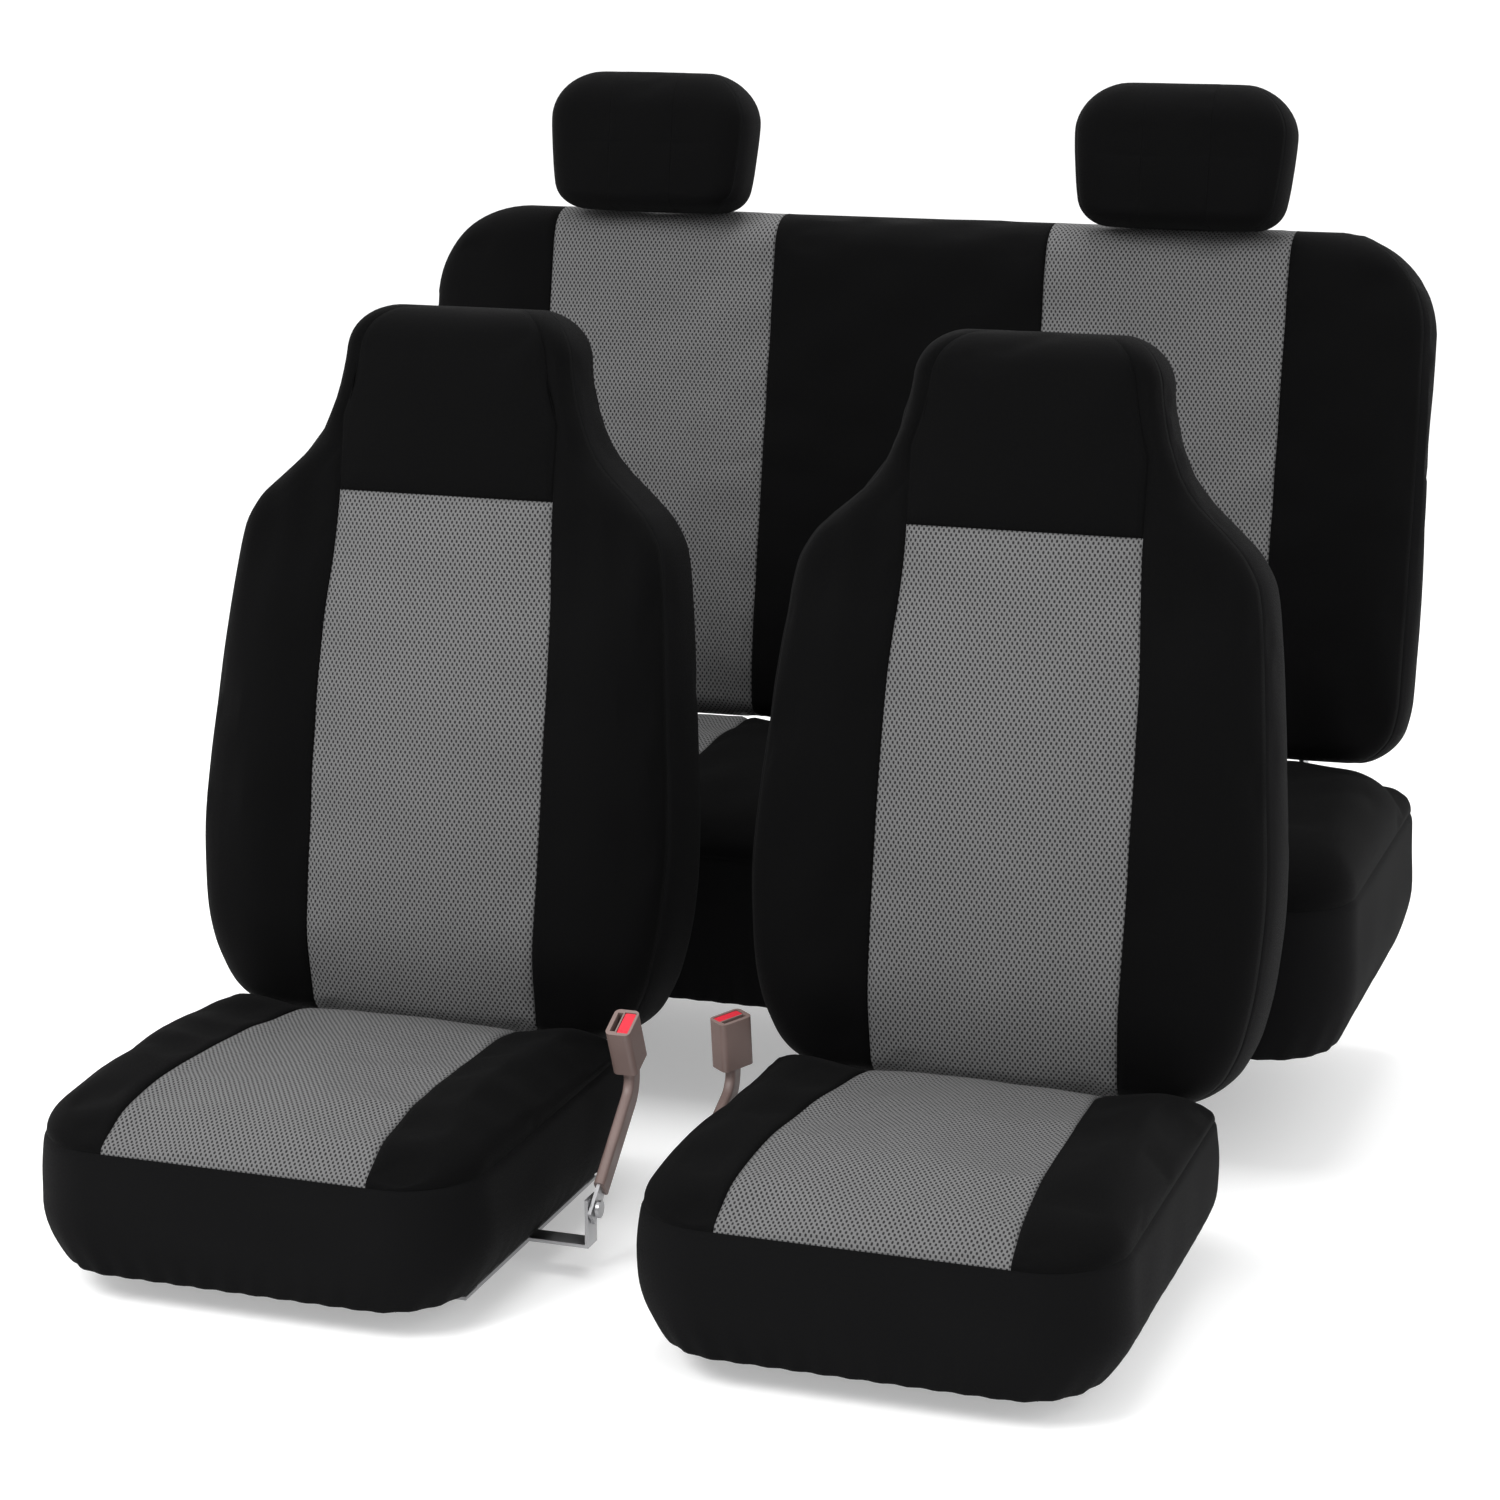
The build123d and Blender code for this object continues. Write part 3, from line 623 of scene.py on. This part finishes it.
def cushion_rows(spec):
    radius = spec["corner"]
    start = spec["front"] + radius * (1 - np.cos(np.linspace(0, math.pi / 2, 19)))
    rest = spec["back"] - spec["front"] - radius - 0.03
    count = int(rest / ROW_STEP)
    run = spec["front"] + radius + rest * np.linspace(0, 1, count + 1)[1:]
    end = spec["back"] - 0.03 * (1 - np.sin(np.linspace(0, math.pi / 2, 9)[1:]))
    return np.concatenate([start, run, end])


def row_half(spec, y):
    w = spec["half"]
    radius = spec["corner"]
    d = y - spec["front"]
    if d < radius:
        w = w - radius + math.sqrt(max(radius**2 - (radius - d) ** 2, 0))
    return w


def wall_distance(spec, x, y):
    """Distance in from the cushion's upright walls, softened at the corners."""
    ax = np.abs(x)
    side = spec["half"] - ax
    ahead = y - spec["front"]
    behind = spec["back"] - y
    radius = spec["corner"]
    past_side = np.clip(ax - spec["half"] + radius, 0, None)
    past_front = np.clip(radius - ahead, 0, None)
    corner = radius - np.hypot(past_side, past_front)
    inside = np.where((ax > spec["half"] - radius) & (ahead < radius), corner, np.minimum(side, ahead))
    return np.clip(np.minimum(inside, behind), 0, None)


def cushion_top(spec):
    """Grid of the sitting surface down to the skirt seam, and the columns of its sewn seams."""
    grid = []
    for y in cushion_rows(spec):
        w = row_half(spec, y)
        seams = [min(float(seam(y)), w - 0.006) for seam in spec["seams"]]
        stops = [-x for x in reversed(seams)] + seams
        x = [np.array([stops[0]])]
        for a, b in zip(stops, stops[1:]):
            x.append(a + (b - a) * crowded(spec["steps"])[1:])
        outer = seams[-1] + (w - seams[-1]) * np.sin(np.linspace(0, math.pi / 2, spec["outer"] + 1)[1:])
        x = np.concatenate([-outer[::-1]] + x + [outer])
        t = np.clip(wall_distance(spec, x, y) / spec["edge"], 0, 1)
        rise = (1 - (1 - t) ** TOP_POWER) ** (1 / TOP_POWER)
        z = spec["seam_z"] + (spec["top"](x, y) - spec["seam_z"]) * rise
        for seam in stops:
            z = z - bump_at(x - seam, SEAM_DIP, SEAM_WIDTH) * np.clip(t * 3, 0, 1)
        grid.append(np.stack([x + spec["x"], np.full_like(x, y + SHIFT), z], -1))
    return np.array(grid)


def cushion_panels(name, spec, materials):
    grid = cushion_top(spec)
    made = []
    columns = [spec["outer"] + spec["steps"] * i for i in range(len(materials) + 1)]
    last_row = len(grid) - 1
    last_column = len(grid[0]) - 1
    grid = settled(grid, [0, last_row], [0, *columns, last_column])
    for index, material in enumerate(materials):
        part = grid[:, columns[index]: columns[index + 1] + 1]
        made.append(sheet_object(f"{name}_panel_{index}", part, material))
    made.append(sheet_object(f"{name}_left_wing", grid[:, : columns[0] + 1], BLACK))
    made.append(sheet_object(f"{name}_right_wing", grid[:, columns[-1]:], BLACK))
    made.append(skirt(f"{name}_skirt", spec, grid))
    return made


def skirt(name, spec, grid):
    """Closed band from the top panels' edge down to the elastic hem, turned under at the bottom."""
    left = grid[::-1, 0]
    front = grid[0, 1:-1]
    right = grid[:, -1]
    rear = grid[-1, -2:0:-1]
    loop = np.concatenate([left, front, right, rear])
    loop = resampled(loop, spec["skirt_columns"])
    ahead = np.roll(loop, -1, axis=0) - np.roll(loop, 1, axis=0)
    normal = np.stack([ahead[:, 1], -ahead[:, 0]], -1)
    normal /= np.linalg.norm(normal, axis=1)[:, None]
    length = arc_length(loop[None], 1)[0]
    rows = []
    for v in crowded(SKIRT_ROWS):
        gather = np.clip((v - 0.55) / 0.45, 0, 1) ** 2
        belly = spec["belly"] * max(math.sin(math.pi * v), 0) ** 0.8
        tuck = spec["tuck"] * gather * (loop[:, 0] - spec["x"]) / spec["half"]
        scallop = 0.0016 * np.sin(length * 2 * math.pi / GATHER_PITCH) * gather
        crease = ripples(length * 0.6, np.full_like(length, v * 0.18), spec["seed"], 0.003)
        out = belly + scallop + crease * math.sin(math.pi * v) - bump_at(v, 0.0025, 0.03)
        row = loop.copy()
        row[:, 0] += normal[:, 0] * out - tuck
        row[:, 1] += normal[:, 1] * out
        row[:, 2] = loop[:, 2] + (spec["hem_z"] - loop[:, 2]) * v
        rows.append(row)
    for inset, lift in TURNED_HEM:
        row = rows[SKIRT_ROWS].copy()
        row[:, 0] -= normal[:, 0] * inset
        row[:, 1] -= normal[:, 1] * inset
        row[:, 2] += lift
        rows.append(row)
    return sheet_object(name, np.array(rows), SIDE_PAINTED_LIGHTER, closed=True)


def resampled(loop, count):
    """Closed loop of evenly spaced points."""
    ring = np.concatenate([loop, loop[:1]])
    steps = np.concatenate([[0], np.cumsum(np.linalg.norm(np.diff(ring, axis=0), axis=1))])
    places = np.linspace(0, steps[-1], count + 1)[:-1]
    return np.stack([np.interp(places, steps, ring[:, k]) for k in range(3)], -1)


def bucket_cushion_spec(x, seed):
    ridge = curve_through((-0.022, 0.162), (0.03, 0.178), (0.13, 0.190), (0.30, 0.184), (0.48, 0.168))
    insert = curve_through((-0.022, 0.160), (0.05, 0.158), (0.25, 0.150), (0.46, 0.136), (0.48, 0.135))
    wing = curve_through((-0.022, 0.0), (0.06, 0.15), (0.24, 1.0), (0.48, 1.0))

    def top(x_local, y):
        side = bump_at(np.abs(x_local) - 0.215, 0.013, 0.05) * wing(y)
        crown = 0.004 * np.clip(1 - (x_local / 0.15) ** 2, 0, 1)
        return HEM + ridge(y) + side + crown + ripples(x_local, y, seed, 0.0025)

    return dict(x=x, half=CUSHION_HALF, front=CUSHION_FRONT, back=CUSHION_BACK, corner=0.090, edge=0.074,
                seams=[insert], steps=30, outer=24, top=top, seam_z=SKIRT_TOP, hem_z=HEM + 0.0015,
                belly=0.006, tuck=0.026, seed=seed, skirt_columns=260)


def bench_cushion_spec():
    ridge = curve_through((0.824, 0.236), (0.86, 0.250), (0.95, 0.268), (1.12, 0.281), (1.222, 0.277),
                          (1.262, 0.242), (1.345, 0.236))

    def top(x_local, y):
        pulls = 0.003 * np.sin(x_local * 55 - y * 30) * bump_at(y - 1.16, 1.0, 0.06)
        return BENCH_HEM + ridge(y) + pulls + ripples(x_local, y, 31, 0.004)

    return dict(x=0.0, half=BENCH_HALF, front=BENCH_FRONT, back=BENCH_BACK, corner=0.09, edge=0.075,
                seams=[lambda y: STRIPE_IN, lambda y: STRIPE_OUT], steps=26, outer=28, top=top,
                seam_z=BENCH_SEAM, hem_z=BENCH_HEM + 0.0015, belly=0.004, tuck=0.020, seed=33,
                skirt_columns=420)


# ---- put the covers on --------------------------------------------------
def dress(pieces, body):
    for piece in pieces:
        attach(piece, body)


for seat, seed in (("left", 3), ("right", 11)):
    centre = middle_x(f"{seat}_cushion_foam")
    cushion = cushion_panels(f"{seat}_cushion_cover", bucket_cushion_spec(centre, seed), [MESH])
    dress(cushion, f"{seat}_seat")
    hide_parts(f"{seat}_cushion_mesh_insert", f"{seat}_cushion_foam")
    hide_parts(f"{seat}_cushion_top_panel")
    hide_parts(f"{seat}_cushion_skirt")
    back = shell_panels(f"{seat}_back_cover", bucket_back_spec(centre, seed + 5), [MESH], crossed=[0])
    dress(back, f"{seat}_backrest")
    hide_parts(f"{seat}_back_mesh_insert", f"{seat}_back_foam", f"{seat}_back_frame")
    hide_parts(f"{seat}_back_head_panel")
    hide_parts(f"{seat}_back_bolsters")
    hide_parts(f"{seat}_back_rear_panel")

stripes = [MESH, BLACK, MESH]
bench = cushion_panels("bench_cushion_cover", bench_cushion_spec(), stripes)
dress(bench, "base")
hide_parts("bench_cushion_mesh_stripes", "bench_cushion_foam")
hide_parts("bench_cushion_top_panels")
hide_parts("bench_cushion_skirt")
bench_back = shell_panels("bench_back_cover", bench_back_spec(), stripes, crossed=[])
dress(bench_back, "bench_backrest")
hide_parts("bench_back_mesh_stripes", "bench_back_foam", "bench_back_frame")
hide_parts("bench_back_front_panels")
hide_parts("bench_back_rear_panel")
for side, seed in (("left", 41), ("right", 47)):
    centre = middle_x(f"{side}_headrest_cover")
    rest = shell_panels(f"{side}_headrest_cover_cloth", headrest_spec(centre, seed), [BLACK], crossed=[])
    dress(rest, f"{side}_headrest")
    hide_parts(f"{side}_headrest_cover", f"{side}_headrest_foam")

# ---- hard parts keep their CAD shape ------------------------------------
FINISHES = {
    "painted_steel": hard("black painted steel", (0.018, 0.018, 0.02), 0.42, grain=600, coat=0.15),
    "zinc_steel": hard("zinc plated steel", (0.42, 0.42, 0.43), 0.38, metallic=1.0, grain=900),
    "chrome": hard("chromed post", (0.62, 0.62, 0.64), 0.14, metallic=1.0, grain=200, spread=0.04),
    "buckle_plastic": hard("taupe buckle plastic", (0.175, 0.122, 0.110), 0.46, grain=1400, depth=0.00006),
    "button_plastic": hard("red button plastic", (0.62, 0.016, 0.035), 0.30, grain=1400, depth=0.00003,
                           coat=0.3),
    "guide_plastic": hard("black guide plastic", (0.02, 0.02, 0.02), 0.45, grain=1200),
    "elastic": hard("black elastic", (0.012, 0.012, 0.012), 0.85, grain=1800, depth=0.0003),
    "tricot": BLACK,
    "mesh": MESH,
    "foam": hard("foam", (0.5, 0.47, 0.36), 0.9, grain=800, depth=0.0004),
}
for part in frame["record"]["subparts"]:
    node = frame["nodes"][part["node"]]
    node.data.materials.clear()
    node.data.materials.append(FINISHES[part["material_slot"]])

# ---- stage, light and camera --------------------------------------------
def stage_floor():
    mesh = bpy.data.meshes.new("floor")
    reach = 60.0
    corners = [(-reach, -reach, 0), (reach, -reach, 0), (reach, reach, 0), (-reach, reach, 0)]
    mesh.from_pydata(corners, [], [(0, 1, 2, 3)])
    floor = bpy.data.objects.new("floor", mesh)
    bpy.context.collection.objects.link(floor)
    n = Nodes("pale floor")
    n.set(Base_Color=(0.80, 0.80, 0.80, 1), Roughness=0.9, Specular_IOR_Level=0.0)
    n.set(Emission_Color=(1, 1, 1, 1), Emission_Strength=0.34)
    mesh.materials.append(n.material)


def area_light(name, place, target, size, power):
    data = bpy.data.lights.new(name, "AREA")
    data.shape = "DISK"
    data.size = size
    data.energy = power
    lamp = bpy.data.objects.new(name, data)
    bpy.context.collection.objects.link(lamp)
    lamp.location = place
    lamp.rotation_euler = (Vector(target) - Vector(place)).to_track_quat("-Z", "Y").to_euler()


def camera():
    azimuth = math.radians(18.86)
    elevation = math.radians(14.07)
    distance = 4.21
    target = Vector((0.061, 0.5 + SHIFT, 0.526 + HEM))
    back = Vector((math.sin(azimuth) * math.cos(elevation), -math.cos(azimuth) * math.cos(elevation),
                   math.sin(elevation)))
    data = bpy.data.cameras.new("camera")
    data.sensor_width = 36.0
    data.lens = 87.0
    eye = bpy.data.objects.new("camera", data)
    bpy.context.collection.objects.link(eye)
    eye.location = target + back * distance
    eye.rotation_euler = (-back).to_track_quat("-Z", "Y").to_euler()
    bpy.context.scene.camera = eye


def world(strength):
    made = bpy.data.worlds.new("studio")
    made.use_nodes = True
    made.node_tree.nodes["Background"].inputs[0].default_value = (1, 1, 1, 1)
    made.node_tree.nodes["Background"].inputs[1].default_value = strength
    bpy.context.scene.world = made


stage_floor()
world(1.0)
area_light("key", (-1.6, -3.2, 3.4), (0, 0, 0.5), 2.2, 125)
area_light("fill", (3.0, -2.0, 2.2), (0, 0, 0.6), 2.0, 22)
area_light("top", (0.2, 0.8, 3.6), (0, 0.1, 0.6), 2.0, 60)
camera()
bpy.context.scene.view_settings.view_transform = "Standard"
